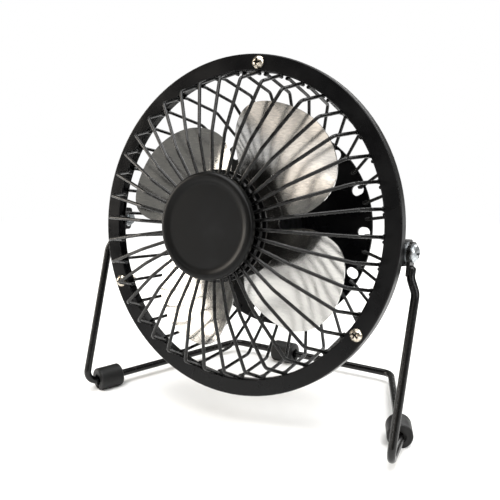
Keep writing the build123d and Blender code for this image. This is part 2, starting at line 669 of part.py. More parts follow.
TIPPED = Plane(
    origin=ROCKER.origin,
    x_dir=ROCKER.x_dir * cos(radians(ROCKER_TIP)) + ROCKER.y_dir * sin(radians(ROCKER_TIP)),
    z_dir=ROCKER.z_dir,
)
with BuildPart() as switch_rocker:
    half = ROCKER_LENGTH / 2
    with BuildSketch(TIPPED):
        with BuildLine():
            Polyline(
                (-half, TRUNNION_DEPTH + ROCKER_EAR),
                (-half + 0.3, 0.2),
                (-3.0, -ROCKER_KEEL),
                (3.0, -ROCKER_KEEL),
                (half - 0.3, 0.2),
                (half, TRUNNION_DEPTH + ROCKER_EAR),
            )
            ThreePointArc(
                (half, TRUNNION_DEPTH + ROCKER_EAR),
                (0, TRUNNION_DEPTH + ROCKER_DIP),
                (-half, TRUNNION_DEPTH + ROCKER_EAR),
            )
        make_face()
    extrude(amount=ROCKER_WIDTH / 2, both=True)
    with BuildSketch(TIPPED):
        Circle(TRUNNION_R)
    extrude(amount=CAVITY[1] / 2 + TRUNNION_BITE, both=True)
switch_rocker.part.label = "switch_rocker"
export_step(switch_rocker.part, "parts/switch_rocker.step")

SOCKET_LENGTH = 7.0
SOCKET_WALL = 0.35
with BuildPart() as usb_socket:
    with BuildSketch(HEAD.offset(HOUSING_BACK)):
        with Locations((0, SOCKET_Y)):
            RectangleRounded(*SOCKET_SHELL, 0.9)
    extrude(amount=SOCKET_LENGTH)
    with BuildSketch(HEAD.offset(HOUSING_BACK)):
        with Locations((0, SOCKET_Y)):
            RectangleRounded(SOCKET_SHELL[0] - 2 * SOCKET_WALL, SOCKET_SHELL[1] - 2 * SOCKET_WALL, 0.6)
    extrude(amount=SOCKET_LENGTH - 1.0, mode=Mode.SUBTRACT)
usb_socket.part.label = "usb_socket"
export_step(usb_socket.part, "parts/usb_socket.step")

with BuildPart() as socket_tongue:
    with BuildSketch(HEAD.offset(HOUSING_BACK + 1.0)):
        with Locations((0, SOCKET_Y)):
            Rectangle(SOCKET_SHELL[0] - 2.6, 0.8)
    extrude(amount=SOCKET_LENGTH - 2.0)
socket_tongue.part.label = "socket_tongue"
export_step(socket_tongue.part, "parts/socket_tongue.step")

BOARD = (20.0, 1.2)
BOARD_TOP = SOCKET_Y - SOCKET_SHELL[1] / 2 - 0.02
BOARD_LENGTH = HOUSING_DEPTH - HOUSING_WALL - 0.8
with BuildPart() as circuit_board:
    with BuildSketch(HEAD.offset(HOUSING_INNER_BACK)):
        with Locations((0, BOARD_TOP - BOARD[1] / 2)):
            Rectangle(*BOARD)
    extrude(amount=BOARD_LENGTH)
circuit_board.part.label = "circuit_board"
export_step(circuit_board.part, "parts/circuit_board.step")

# Three leads: motor to board, motor to switch and switch to board.
LEAD_R = 0.6
LEAD_END = MOTOR_BACK - 0.02
SWITCH_FRONT = HOUSING_BACK + SWITCH_DEPTH + 0.02
BOARD_END = BOARD_TOP + 0.02
SWITCH_LEAD_Y = SWITCH_Y - 2.0
LEAD_ROUTES = [
    [(1.0, LEAD_HOLE_Y, LEAD_END), (1.0, LEAD_HOLE_Y, -38.5), (1.0, BOARD_END, -38.5)],
    [(-1.0, LEAD_HOLE_Y, LEAD_END), (-1.0, LEAD_HOLE_Y, -35.7), (-1.0, SWITCH_LEAD_Y, -35.7),
     (-1.0, SWITCH_LEAD_Y, SWITCH_FRONT)],
    [(3.4, SWITCH_LEAD_Y, SWITCH_FRONT), (3.4, SWITCH_LEAD_Y, -35.7), (3.4, BOARD_END, -35.7)],
]
with BuildPart() as inner_leads:
    for route in LEAD_ROUTES:
        with BuildLine(HEAD) as path:
            FilletPolyline(*route, radius=1.1)
        with BuildSketch(Plane(origin=path.line @ 0, z_dir=path.line % 0)):
            Circle(LEAD_R)
        sweep(path=path.line)
inner_leads.part.label = "inner_leads"
export_step(inner_leads.part, "parts/inner_leads.step")

# ---- tilt pivots ----------------------------------------------------------------------
# An angle bracket is welded to the back of the rear hoop on each side. Its foot lies on
# the hoop and its ear stands back from it, with a hole for the pivot screw.
BRACKET_WIDTH = 10.0
BRACKET_REACH = PIVOT_SETBACK - RIM_DEPTH - WELD_GAP
BRACKET_TAIL = 4.3          # the ear reaches this far behind the pivot
BRACKET_FOOT_X = 64.2
with BuildPart() as bracket_right:
    with BuildSketch(SIDE.offset(BRACKET_X)):
        with Locations((0, (BRACKET_REACH - BRACKET_TAIL) / 2)):
            ear = Rectangle(BRACKET_WIDTH, BRACKET_REACH + BRACKET_TAIL)
        fillet(ear.vertices().sort_by(Axis.Y)[:2], radius=1.6)
    extrude(amount=BRACKET_SHEET)
    with BuildSketch(SIDE.offset(BRACKET_FOOT_X)):
        with Locations((0, BRACKET_REACH - BRACKET_SHEET / 2)):
            Rectangle(BRACKET_WIDTH, BRACKET_SHEET)
    extrude(amount=BRACKET_X - BRACKET_FOOT_X)
    with BuildSketch(SIDE.offset(BRACKET_X)):
        Circle(PIVOT_SCREW_R + 0.02)
    extrude(amount=BRACKET_SHEET, mode=Mode.SUBTRACT)
    outer_bend = edges().filter_by(Axis((0, 0, 0), UPWARD)).sort_by_distance(
        SIDE.offset(BRACKET_X + BRACKET_SHEET).origin + FORWARD * BRACKET_REACH
    )[0]
    fillet(outer_bend, radius=1.0)
bracket_right.part.label = "bracket_right"
export_step(bracket_right.part, "parts/bracket_right.step")

with BuildPart() as bracket_left:
    mirror(bracket_right.part, about=Plane.YZ)
bracket_left.part.label = "bracket_left"
export_step(bracket_left.part, "parts/bracket_left.step")

WASHER_X = BRACKET_X + BRACKET_SHEET + 0.02
with BuildPart() as pivot_washers:
    with BuildSketch(SIDE.offset(WASHER_X)):
        Circle(4.2)
        Circle(PIVOT_SCREW_R + 0.1, mode=Mode.SUBTRACT)
    extrude(amount=0.6)
    mirror(about=Plane.YZ)
pivot_washers.part.label = "pivot_washers"
export_step(pivot_washers.part, "parts/pivot_washers.step")

SCREW_SEAT_X = EYE_X + EYE_SHEET + 0.06
SCREW_LENGTH = 8.0
with BuildPart(SIDE.offset(SCREW_SEAT_X)) as pivot_screws:
    add(pan_screw(PIVOT_HEAD_R, 1.8, PIVOT_SCREW_R, SCREW_LENGTH, 0.9))
    mirror(about=Plane.YZ)
pivot_screws.part.label = "pivot_screws"
export_step(pivot_screws.part, "parts/pivot_screws.step")

NUT_THICK = 2.6
with BuildPart() as pivot_nuts:
    with BuildSketch(SIDE.offset(BRACKET_X - NUT_THICK - 0.02)):
        RegularPolygon(radius=3.4, side_count=6)
        Circle(PIVOT_SCREW_R + 0.02, mode=Mode.SUBTRACT)
    extrude(amount=NUT_THICK)
    mirror(about=Plane.YZ)
pivot_nuts.part.label = "pivot_nuts"
export_step(pivot_nuts.part, "parts/pivot_nuts.step")

# ---- stand ----------------------------------------------------------------------------
LEG_SIN = sin(radians(LEG_LEAN))
LEG_COS = cos(radians(LEG_LEAN))
SHOULDER_X = EYE_X + ROD_R  # the round rod's middle line where its flattened end begins
STRAP = 9.0                 # the flattened end reaches this far down the leg
SHOULDER = 6.2
OFFSET_START = 9.2
OFFSET_END = 15.0


def leg_point(x, along):
    """A point on a leg, a distance along it from the pivot."""
    return (x, PIVOT_Y - along * LEG_SIN, PIVOT_HEIGHT - along * LEG_COS)


def ground_point(x, y):
    """A point on the rod's middle line along the ground, y counted from the pivots."""
    return (x, PIVOT_Y + y, AXIS_ABOVE_GROUND)


LEG = Plane(
    origin=PIVOT,
    x_dir=(0, -LEG_SIN, -LEG_COS),
    z_dir=(1, 0, 0),
)
with BuildPart() as stand_rod:
    with BuildLine() as path:
        FilletPolyline(
            leg_point(SHOULDER_X, SHOULDER),
            leg_point(SHOULDER_X, OFFSET_START),
            leg_point(LEG_X, OFFSET_END),
            ground_point(LEG_X, FRONT_CORNER_Y),
            ground_point(*KNEE),
            ground_point(REAR_CORNER_X, REAR_BAR_Y),
            ground_point(-REAR_CORNER_X, REAR_BAR_Y),
            ground_point(-LEG_X, FRONT_CORNER_Y),
            leg_point(-LEG_X, OFFSET_END),
            leg_point(-SHOULDER_X, OFFSET_START),
            leg_point(-SHOULDER_X, SHOULDER),
            radius=[6, 6, 4.5, 8, 6, 6, 4.5, 6, 6],
        )
    with BuildSketch(Plane(origin=path.line @ 0, z_dir=path.line % 0)):
        Circle(ROD_R)
    sweep(path=path.line)
    with Locations(path.line @ 0, path.line @ 1):
        Sphere(ROD_R)
    for eye_plane, inwards in ((LEG.offset(EYE_X), 1), (LEG.offset(-EYE_X), -1)):
        with BuildSketch(eye_plane):
            Circle(EYE_R)
            with BuildLine():
                Polyline((0, -3.4), (STRAP, -1.45), (STRAP, 1.45), (0, 3.4), close=True)
            make_face()
            Circle(PIVOT_SCREW_R + 0.08, mode=Mode.SUBTRACT)
        extrude(amount=inwards * EYE_SHEET)
stand_rod.part.label = "stand_rod"
export_step(stand_rod.part, "parts/stand_rod.step")


def rubber_foot(middle, towards):
    """A collar slit along its underside, pushed over the rod, with a flat worn by standing."""
    along = Vector(towards[0], towards[1], 0).normalized()
    start = Vector(*middle) - along * (FOOT_LENGTH / 2)
    end_plane = Plane(origin=start, x_dir=(-along.Y, along.X, 0), z_dir=along)
    with BuildPart() as collar:
        with BuildSketch(end_plane):
            Circle(FOOT_R)
        extrude(amount=FOOT_LENGTH)
        fillet(edges().filter_by(GeomType.CIRCLE), radius=0.9)
        with BuildSketch(end_plane):
            Circle(ROD_R + 0.02)
            with Locations((0, -FOOT_R / 2)):
                Rectangle(1.3, FOOT_R)
            with Locations((0, -AXIS_ABOVE_GROUND - FOOT_R / 2)):
                Rectangle(2 * FOOT_R, FOOT_R)
        extrude(amount=FOOT_LENGTH, mode=Mode.SUBTRACT)
        for mouth in (end_plane, end_plane.offset(FOOT_LENGTH - 0.9)):
            with BuildSketch(mouth):
                Circle(ROD_R + 0.9)
            extrude(amount=0.9, mode=Mode.SUBTRACT)
    return collar.part


def along_rail(corner, rear, distance):
    """The point on a rail a distance back from its front corner, and the rail's direction."""
    way = Vector(rear[0] - corner[0], rear[1] - corner[1]).normalized()
    return ground_point(corner[0] + way.X * distance, corner[1] + way.Y * distance), (way.X, way.Y)


with BuildPart() as foot_right:
    add(rubber_foot(*along_rail(KNEE, (REAR_CORNER_X, REAR_BAR_Y), 7.2)))
foot_right.part.label = "foot_right"
export_step(foot_right.part, "parts/foot_right.step")

with BuildPart() as foot_left:
    add(rubber_foot(*along_rail((-LEG_X, FRONT_CORNER_Y), (-REAR_CORNER_X, REAR_BAR_Y), 12.0)))
foot_left.part.label = "foot_left"
export_step(foot_left.part, "parts/foot_left.step")

with BuildPart() as foot_rear:
    add(rubber_foot(ground_point(-14.0, REAR_BAR_Y), (1, 0)))
foot_rear.part.label = "foot_rear"
export_step(foot_rear.part, "parts/foot_rear.step")
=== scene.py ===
# %% [markdown]
# # A small desk fan in a wire cage
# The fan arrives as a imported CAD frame: every rim, wire, screw and motor part is already
# in place and already moves on its joints. What is left to do here is how it looks. Each
# cell takes one finish or one small piece, says what it is on the real fan, and builds it.

# %% Load the frame
import bpy
import bmesh
import json
import random
from math import atan2, cos, pi, radians, sin
from mathutils import Matrix, Vector


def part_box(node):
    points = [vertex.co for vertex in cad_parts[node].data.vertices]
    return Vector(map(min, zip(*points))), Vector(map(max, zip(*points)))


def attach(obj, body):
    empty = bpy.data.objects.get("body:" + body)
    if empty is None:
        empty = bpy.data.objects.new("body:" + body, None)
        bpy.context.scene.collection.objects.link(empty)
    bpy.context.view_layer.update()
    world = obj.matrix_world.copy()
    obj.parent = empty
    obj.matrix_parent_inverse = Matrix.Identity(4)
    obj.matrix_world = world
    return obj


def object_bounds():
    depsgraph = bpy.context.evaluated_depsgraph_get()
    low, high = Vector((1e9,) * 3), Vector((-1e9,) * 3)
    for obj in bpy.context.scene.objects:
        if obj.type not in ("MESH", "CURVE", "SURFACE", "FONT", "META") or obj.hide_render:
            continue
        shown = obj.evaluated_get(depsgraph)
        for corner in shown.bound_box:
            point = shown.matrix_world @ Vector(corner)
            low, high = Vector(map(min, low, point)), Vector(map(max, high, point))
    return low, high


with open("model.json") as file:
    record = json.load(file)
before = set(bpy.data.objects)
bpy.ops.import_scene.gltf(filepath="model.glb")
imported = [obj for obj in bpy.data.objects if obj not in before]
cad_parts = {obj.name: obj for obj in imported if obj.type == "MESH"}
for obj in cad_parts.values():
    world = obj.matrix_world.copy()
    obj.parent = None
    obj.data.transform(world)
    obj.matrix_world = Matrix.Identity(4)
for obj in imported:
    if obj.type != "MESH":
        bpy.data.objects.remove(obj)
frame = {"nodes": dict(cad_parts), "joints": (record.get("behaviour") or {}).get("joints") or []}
cad_low, cad_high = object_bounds()
nodes = frame["nodes"]
MM = 0.001
print("the fan is", [round(v / MM, 1) for v in cad_high - cad_low], "mm, in", len(nodes), "pieces")

# %% [markdown]
# The head leans back, so nothing on it lines up with the world's axes. The blades spin
# about the head's own axis, and that joint gives a point and a direction. A matrix built
# from them lets every new piece be thought of lying flat, in millimetres: x to the right,
# y up along the head, z forward out of the cage.

# %% The head's own axes
spin = next(j for j in frame["joints"] if j["name"] == "spin")
forward = Vector(spin["axis"]).normalized()
right = Vector((1, 0, 0))
head_matrix = Matrix.Translation(spin["pos_m"]) @ Matrix(
    (right, forward.cross(right), forward)
).transposed().to_4x4() @ Matrix.Scale(MM, 4)
print("the head leans back", round(atan2(forward.z, -forward.y) * 180 / pi, 1), "degrees")

# %% [markdown]
# Every material below is a handful of nodes. One helper adds a node, sets its values and
# joins its inputs, so that each material reads as a list of what happens to the light.
# Colours are picked as the hex values a screen shows, and a shader wants linear light, so
# a second helper converts them. A noise keeps mostly to its middle greys, so each pattern
# has those greys, GREYS, stretched to the range of roughness or blend that it controls.

# %% Helpers for materials
GREYS = {"From Min": 0.3, "From Max": 0.7}


def colour(hex_code):
    channels = [int(hex_code[i:i + 2], 16) / 255 for i in (1, 3, 5)]
    return (*[c / 12.92 if c < 0.04045 else ((c + 0.055) / 1.055) ** 2.4 for c in channels], 1)


def add_node(tree, kind, settings=None, links=None):
    """Adds a node. Settings are attributes or input values, links are input: output."""
    node = tree.nodes.new("ShaderNode" + kind)
    for name, value in (settings or {}).items():
        if isinstance(name, str) and hasattr(node, name):
            setattr(node, name, value)
        else:
            node.inputs[name].default_value = value
    for name, output in (links or {}).items():
        tree.links.new(output, node.inputs[name])
    return node


def new_material(name, base, roughness, metallic=0.0, **more):
    """A material with its even values on the shader.

    Returns it, its tree, its shader and the place on the piece in real millimetres.
    """
    made = bpy.data.materials.new(name)
    made.use_nodes = True
    tree = made.node_tree
    shader = tree.nodes["Principled BSDF"]
    values = {"Base Color": colour(base), "Roughness": roughness, "Metallic": metallic, **more}
    for socket, value in values.items():
        shader.inputs[socket].default_value = value
    coordinates = add_node(tree, "TexCoord")
    where = add_node(tree, "Mapping", {"Scale": (1 / MM, 1 / MM, 1 / MM)},
                     {"Vector": coordinates.outputs["Object"]})
    return made, tree, shader, where.outputs["Vector"]


def paint(names, material):
    for name in names:
        nodes[name].data.materials.clear()
        nodes[name].data.materials.append(material)
    print(material.name, "->", ", ".join(names))


# %% [markdown]
# **Stove enamel on pressed steel.** The rims, the rear disc and the pivot brackets are
# sheet steel, sprayed black and baked. Baked enamel is glossy, but it levels only partly:
# a faint orange peel about two millimetres across breaks up the reflections, and handling
# leaves some areas a little duller than others.

# %% Black enamel
ENAMEL_PEEL_MM = 2.0
enamel, tree, shader, where = new_material("black_stove_enamel", "#020203", 0.3,
                                           **{"IOR": 1.5, "Specular IOR Level": 0.2})
peel = add_node(tree, "TexNoise", {"Scale": 1 / ENAMEL_PEEL_MM, "Detail": 2.0}, {"Vector": where})
handled = add_node(tree, "TexNoise", {"Scale": 0.08, "Detail": 4.0}, {"Vector": where})
dull = add_node(tree, "MapRange", {**GREYS, "To Min": 0.2, "To Max": 0.36},
                {"Value": handled.outputs["Fac"]})
tree.links.new(dull.outputs["Result"], shader.inputs["Roughness"])
ripple = add_node(tree, "Bump", {"Strength": 0.25, "Distance": 0.03 * MM},
                  {"Height": peel.outputs["Fac"]})
tree.links.new(ripple.outputs["Normal"], shader.inputs["Normal"])
paint(["front_rim", "rear_rim", "rear_disc", "bracket_left", "bracket_right", "cap_plate"], enamel)

# %% [markdown]
# **Dipped paint on wire.** The cage is welded first and coated afterwards, in one bath.
# Paint runs along a thin wire and gathers in slight beads, so the highlight along each
# wire is broken rather than ruled. A noise squeezed to the wire's own size does that.

# %% Cage and stand paint
wire_paint, tree, shader, where = new_material("black_dipped_paint", "#030303", 0.26,
                                               **{"IOR": 1.5, "Specular IOR Level": 0.35})
beads = add_node(tree, "TexNoise", {"Scale": 0.45, "Detail": 3.0}, {"Vector": where})
sheen = add_node(tree, "MapRange", {**GREYS, "To Min": 0.16, "To Max": 0.4},
                 {"Value": beads.outputs["Fac"]})
tree.links.new(sheen.outputs["Result"], shader.inputs["Roughness"])
lumps = add_node(tree, "Bump", {"Strength": 0.5, "Distance": 0.05 * MM},
                 {"Height": beads.outputs["Fac"]})
tree.links.new(lumps.outputs["Normal"], shader.inputs["Normal"])
paint(["front_spokes", "rear_spokes", "front_weld_ring"], wire_paint)

rod_paint, tree, shader, where = new_material("black_powder_coat", "#030303", 0.22,
                                              **{"IOR": 1.5, "Specular IOR Level": 0.35})
texture = add_node(tree, "TexNoise", {"Scale": 0.9, "Detail": 2.0}, {"Vector": where})
sheen = add_node(tree, "MapRange", {**GREYS, "To Min": 0.18, "To Max": 0.3},
                 {"Value": texture.outputs["Fac"]})
tree.links.new(sheen.outputs["Result"], shader.inputs["Roughness"])
orange_peel = add_node(tree, "Bump", {"Strength": 0.2, "Distance": 0.012 * MM},
                       {"Height": texture.outputs["Fac"]})
tree.links.new(orange_peel.outputs["Normal"], shader.inputs["Normal"])
paint(["stand_rod"], rod_paint)

# %% [markdown]
# **The front cap** is a satin moulding: softer than the enamel, so that its face stays
# nearly black and only the rolled edge picks up a line of light. A few specks of dust
# sit on it, as they do on every dark moulding.

# %% Front cap, housing and switch
def moulded(name, base, roughness, grain_mm, depth_mm):
    made, tree, shader, where = new_material(name, base, roughness,
                                             **{"IOR": 1.46, "Specular IOR Level": 0.2})
    grain = add_node(tree, "TexNoise", {"Scale": 1 / grain_mm, "Detail": 3.0}, {"Vector": where})
    worn = add_node(tree, "TexNoise", {"Scale": 0.12, "Detail": 3.0}, {"Vector": where})
    dust = add_node(tree, "TexVoronoi", {"Scale": 0.55}, {"Vector": where})
    speck = add_node(tree, "MapRange", {"From Min": 0.0, "From Max": 0.07,
                                        "To Min": 1.0, "To Max": 0.0},
                     {"Value": dust.outputs["Distance"]})
    mixed = add_node(tree, "Mix", {"data_type": "RGBA", 6: colour(base), 7: colour("#0b0b0b")},
                     {0: speck.outputs["Result"]})
    tree.links.new(mixed.outputs[2], shader.inputs["Base Color"])
    sheen = add_node(tree, "MapRange", {**GREYS, "To Min": roughness - 0.05,
                                        "To Max": roughness + 0.07},
                     {"Value": worn.outputs["Fac"]})
    tree.links.new(sheen.outputs["Result"], shader.inputs["Roughness"])
    skin = add_node(tree, "Bump", {"Strength": 0.4, "Distance": depth_mm * MM},
                    {"Height": grain.outputs["Fac"]})
    tree.links.new(skin.outputs["Normal"], shader.inputs["Normal"])
    return made


cap_satin = moulded("black_satin_moulding", "#020202", 0.36, 1.2, 0.012)
paint(["front_cap"], cap_satin)
housing_grain = moulded("black_spark_grain_plastic", "#0d0d0e", 0.5, 0.35, 0.06)
paint(["rear_housing", "switch_body"], housing_grain)
rocker_gloss = moulded("black_polished_nylon", "#0b0b0c", 0.27, 0.8, 0.01)
paint(["switch_rocker", "socket_tongue"], rocker_gloss)

# %% [markdown]
# **Rubber feet.** Moulded rubber is the dullest black on the fan. Its skin is finely
# pitted, and handling scuffs it a little paler in patches.

# %% Rubber
rubber, tree, shader, where = new_material("black_moulded_rubber", "#070707", 0.5,
                                           **{"IOR": 1.5, "Specular IOR Level": 0.35})
pits = add_node(tree, "TexNoise", {"Scale": 1.4, "Detail": 4.0}, {"Vector": where})
scuffs = add_node(tree, "TexNoise", {"Scale": 0.35, "Detail": 5.0}, {"Vector": where})
scuffed = add_node(tree, "MapRange", {**GREYS, "To Min": 0.0, "To Max": 1.0},
                   {"Value": scuffs.outputs["Fac"]})
mixed = add_node(tree, "Mix", {"data_type": "RGBA", 6: colour("#040404"), 7: colour("#090909")},
                 {0: scuffed.outputs["Result"]})
tree.links.new(mixed.outputs[2], shader.inputs["Base Color"])
dull = add_node(tree, "MapRange", {**GREYS, "To Min": 0.42, "To Max": 0.6},
                {"Value": scuffs.outputs["Fac"]})
tree.links.new(dull.outputs["Result"], shader.inputs["Roughness"])
pitted = add_node(tree, "Bump", {"Strength": 0.3, "Distance": 0.02 * MM},
                  {"Height": pits.outputs["Fac"]})
tree.links.new(pitted.outputs["Normal"], shader.inputs["Normal"])
paint(["foot_left", "foot_right", "foot_rear"], rubber)

# %% [markdown]
# **The impeller** is rolled aluminium sheet with its mill finish: bright, but drawn out in
# one direction by the rollers, so reflections smear along fine lines and the sheet looks
# like brushed silk rather than a mirror. The blank was cut before the blades were bent,
# so one direction of rolling runs across all four blades. Real rolling lines are far
# finer than a millimetre; these are drawn coarse enough to show.

# %% Rolled aluminium
aluminium, tree, shader, where = new_material("mill_finish_aluminium", "#c4c4c2", 0.18, 1.0)
rolled = add_node(tree, "Mapping", {"Scale": (0.05, 1.6, 1.6), "Rotation": (0.17, 0, 0)},
                  {"Vector": where})
lines = add_node(tree, "TexNoise", {"Scale": 1.5, "Detail": 6.0},
                 {"Vector": rolled.outputs["Vector"]})
clouds = add_node(tree, "TexNoise", {"Scale": 0.06, "Detail": 4.0}, {"Vector": where})
sheen = add_node(tree, "MapRange", {**GREYS, "To Min": 0.12, "To Max": 0.22},
                 {"Value": clouds.outputs["Fac"]})
tree.links.new(sheen.outputs["Result"], shader.inputs["Roughness"])
streaks = add_node(tree, "MapRange", {**GREYS, "To Min": 0.0, "To Max": 1.0},
                   {"Value": lines.outputs["Fac"]})
tint = add_node(tree, "Mix", {"data_type": "RGBA", 6: colour("#b4b4b3"), 7: colour("#cccac6")},
                {0: streaks.outputs["Result"]})
tree.links.new(tint.outputs[2], shader.inputs["Base Color"])
scores = add_node(tree, "Bump", {"Strength": 0.12, "Distance": 0.008 * MM},
                  {"Height": lines.outputs["Fac"]})
tree.links.new(scores.outputs["Normal"], shader.inputs["Normal"])
paint(["impeller"], aluminium)

# %% [markdown]
# **Plated steel.** The rim screws and rivets are nickel-plated: slightly warm and bright,
# over the dents that barrel plating leaves. The pivot screws and motor screws are zinc:
# cooler and duller. The same recipe makes both, with its own colour, roughness and dents.

# %% Metals
def plated(name, base, shade, roughness, dent_mm, depth_mm):
    made, tree, shader, where = new_material(name, base, roughness, 1.0)
    dents = add_node(tree, "TexNoise", {"Scale": 1 / dent_mm, "Detail": 3.0}, {"Vector": where})
    shaded = add_node(tree, "MapRange", {**GREYS, "To Min": 0.0, "To Max": 1.0},
                      {"Value": dents.outputs["Fac"]})
    mixed = add_node(tree, "Mix", {"data_type": "RGBA", 6: colour(shade), 7: colour(base)},
                     {0: shaded.outputs["Result"]})
    tree.links.new(mixed.outputs[2], shader.inputs["Base Color"])
    sheen = add_node(tree, "MapRange", {**GREYS, "To Min": roughness + 0.12,
                                        "To Max": roughness - 0.05},
                     {"Value": dents.outputs["Fac"]})
    tree.links.new(sheen.outputs["Result"], shader.inputs["Roughness"])
    dented = add_node(tree, "Bump", {"Strength": 0.6, "Distance": depth_mm * MM},
                      {"Height": dents.outputs["Fac"]})
    tree.links.new(dented.outputs["Normal"], shader.inputs["Normal"])
    return made


paint(["rim_screws", "rim_nuts", "hub_rivets", "blade_nut"],
      plated("nickel_plated_steel", "#e8e0d2", "#8d8270", 0.16, 0.8, 0.1))
paint(["pivot_screws", "pivot_nuts", "pivot_washers", "housing_screws", "motor_screws",
       "motor_spacers", "cap_screw"],
      plated("zinc_plated_steel", "#c9cdd0", "#8f9497", 0.3, 0.9, 0.06))
paint(["motor_can"], plated("drawn_steel_can", "#4a4b4d", "#2b2c2e", 0.34, 3.0, 0.03))
paint(["motor_shaft", "hub_boss"], plated("turned_steel", "#b4b4b2", "#858583", 0.24, 1.5, 0.03))
paint(["motor_armature"], plated("stacked_laminations", "#6f6d69", "#47423c", 0.42, 0.5, 0.1))
paint(["motor_magnets"], plated("ground_ferrite", "#2c2c2f", "#18181a", 0.55, 0.7, 0.08))
paint(["motor_front_bush", "motor_rear_bush"],
      plated("sintered_bronze", "#a5763f", "#6d4a22", 0.42, 0.3, 0.1))
paint(["usb_socket"], plated("tinned_steel", "#cfd0cf", "#9a9c9c", 0.24, 1.0, 0.03))

# %% [markdown]
# The last few pieces are plastics inside the motor and the housing. They show only when
# the fan is opened or looked at through its cage, so they share the moulding recipe.

# %% Inner plastics
paint(["motor_end_cap"], moulded("natural_nylon", "#cfc8b6", 0.45, 0.8, 0.03))
paint(["circuit_board"], moulded("green_solder_mask", "#0f4a26", 0.32, 2.0, 0.01))
paint(["inner_leads"], moulded("red_pvc_insulation", "#7a1212", 0.38, 1.0, 0.02))

# %% [markdown]
# ## Small pieces
# **Weld nuggets.** Each wire is spot-welded at both ends, and the squeezed metal leaves a
# flat blob under the paint. The wires' directions are read from the CAD cage itself: the
# angles of all its points, folded into one pitch, average to the pitch's starting angle.

# %% Where the wires run
WIRES = 38


def wire_angles(node):
    to_head = head_matrix.inverted()
    sine = cosine = 0.0
    for vertex in nodes[node].data.vertices:
        p = to_head @ vertex.co
        turn = atan2(p.y, p.x) * WIRES
        sine, cosine = sine + sin(turn), cosine + cos(turn)
    start = atan2(sine, cosine) / WIRES
    print(node, "starts at", round(start * 180 / pi, 2), "degrees")
    return [start + 2 * pi * i / WIRES for i in range(WIRES)]


front_angles = wire_angles("front_spokes")
rear_angles = wire_angles("rear_spokes")


# %% A helper that turns a bmesh into a finished piece
def finish_piece(name, bm, material, body, smooth=True):
    bmesh.ops.transform(bm, matrix=head_matrix, verts=bm.verts)
    bmesh.ops.recalc_face_normals(bm, faces=bm.faces)
    mesh = bpy.data.meshes.new(name)
    bm.to_mesh(mesh)
    bm.free()
    for polygon in mesh.polygons:
        polygon.use_smooth = smooth
    piece = bpy.data.objects.new(name, mesh)
    bpy.context.scene.collection.objects.link(piece)
    mesh.materials.append(material)
    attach(piece, body)
    print(name, "has", len(mesh.polygons), "faces")
    return piece


# %% Weld nuggets
# Radius from the fan's axis and depth along it, in millimetres, for each ring of welds.
random.seed(4)
weld_rings = [
    (front_angles, 20.2, 20.15, (1.3, 1.0, 0.75)),
    (front_angles, 62.75, 1.5, (0.45, 1.0, 1.1)),
    (rear_angles, 62.75, -1.5, (0.45, 1.0, 1.1)),
    (rear_angles, 43.0, -32.85, (1.4, 1.0, 0.45)),
]
bm = bmesh.new()
for angles, radius, depth, half_size in weld_rings:
    for angle in angles:
        grown = random.uniform(0.85, 1.15)
        where = Matrix.Rotation(angle, 4, "Z") @ Matrix.Translation((radius, 0, depth))
        size = Matrix.Diagonal([h * grown for h in half_size]).to_4x4()
        bmesh.ops.create_icosphere(bm, subdivisions=2, radius=1.0, matrix=where @ size)
finish_piece("weld_nuggets", bm, wire_paint, "head")

# %% [markdown]
# **The rim's seam.** The hoop is one strip rolled into a ring, and its two ends are
# butt-welded and ground flat. A low bead across the flat face is all that is left of it.

# %% Rim seam
rim_low, rim_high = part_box("front_rim")
rim_radius = (rim_high.x - rim_low.x) / 2 / MM
RIM_DEPTH = 2.4                # from the hoops' joint to the front hoop's flat face
RIM_FACE = 7.0                 # the flat face's width
SEAM_ANGLE = radians(256)
SEAM_SIZE = (5.6, 0.5, 0.16)
face_radius = rim_radius - RIM_FACE / 2
bm = bmesh.new()
bmesh.ops.create_cube(bm, size=1.0, matrix=Matrix.Diagonal(SEAM_SIZE).to_4x4())
bmesh.ops.bevel(bm, geom=bm.edges[:], offset=0.06, affect="EDGES", segments=3,
                profile=0.5, material=-1)
bmesh.ops.transform(bm, verts=bm.verts, matrix=Matrix.Rotation(SEAM_ANGLE, 4, "Z")
                    @ Matrix.Translation((face_radius, 0, RIM_DEPTH)))
finish_piece("rim_seam", bm, enamel, "head")

# %% [markdown]
# ** Painted shade in the screw recesses.** A cross recess looks black on a small screw, because
# light hardly reaches its floor. A thin dark cross laid on the floor of each recess paints that
# shade in, so that it shows from every side. It is an aid to the look, and no separate part on a
# real fan.

# %% Painted shade in the recesses
# A near-black, rough material for the crosses: painted shade on the recess floors.
recess_shade_paint, tree, shader, where = new_material("painted_recess_shade", "#0b0a08", 0.85,
                                         **{"Specular IOR Level": 0.2})
shade_roughness_noise = add_node(tree, "TexNoise", {"Scale": 3.0, "Detail": 4.0}, {"Vector": where})
shade_roughness = add_node(tree, "MapRange", {**GREYS, "To Min": 0.7, "To Max": 1.0},
                 {"Value": shade_roughness_noise.outputs["Fac"]})
tree.links.new(shade_roughness.outputs["Result"], shader.inputs["Roughness"])


def cross(bm, matrix, reach, width, height):
    """Two thin bars. The second is a hair wider, so that no two faces lie in one plane."""
    for turn, bar_width in ((0, width), (pi / 2, width * (1 + 0.01 * pi / 2))):
        bmesh.ops.create_cube(bm, size=1.0, matrix=matrix @ Matrix.Rotation(turn, 4, "Z")
                              @ Matrix.Diagonal((reach, bar_width, height)).to_4x4())


